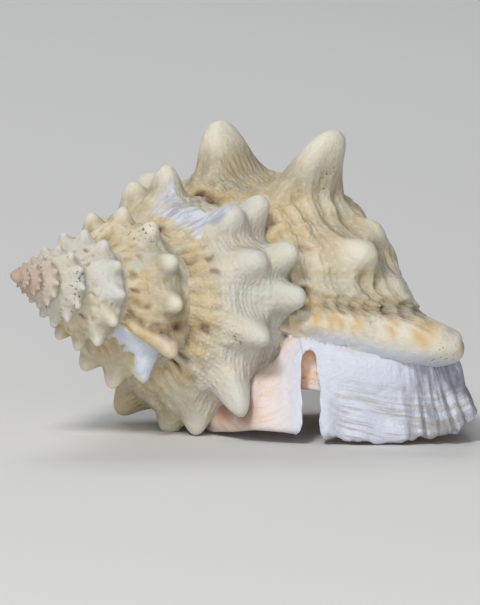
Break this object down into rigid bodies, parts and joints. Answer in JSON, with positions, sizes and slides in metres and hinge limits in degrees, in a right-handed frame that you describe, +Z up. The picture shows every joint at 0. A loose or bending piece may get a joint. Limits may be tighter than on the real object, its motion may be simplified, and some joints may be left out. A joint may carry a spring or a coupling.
{
  "type": "frog shell",
  "caption": "Knobbed sea snail shell with a tall spire, blunt horns on its shoulder and a wide flared lip, lying mouth down.",
  "frame": {"origin": "bottom centre of the bounding box, on the surface that the shell lies on", "axes": "+X along the shell from the spire to the front canal, -Y towards the flared outer lip, +Z up"},
  "size_m": [0.1122, 0.0736, 0.0573],
  "materials": {
    "shell": "chalky natural shell, cream with ochre pits, a white lip and a pink tip"
  },
  "bodies": {
    "root": {"shell": "shell"}
  },
  "joints": []
}
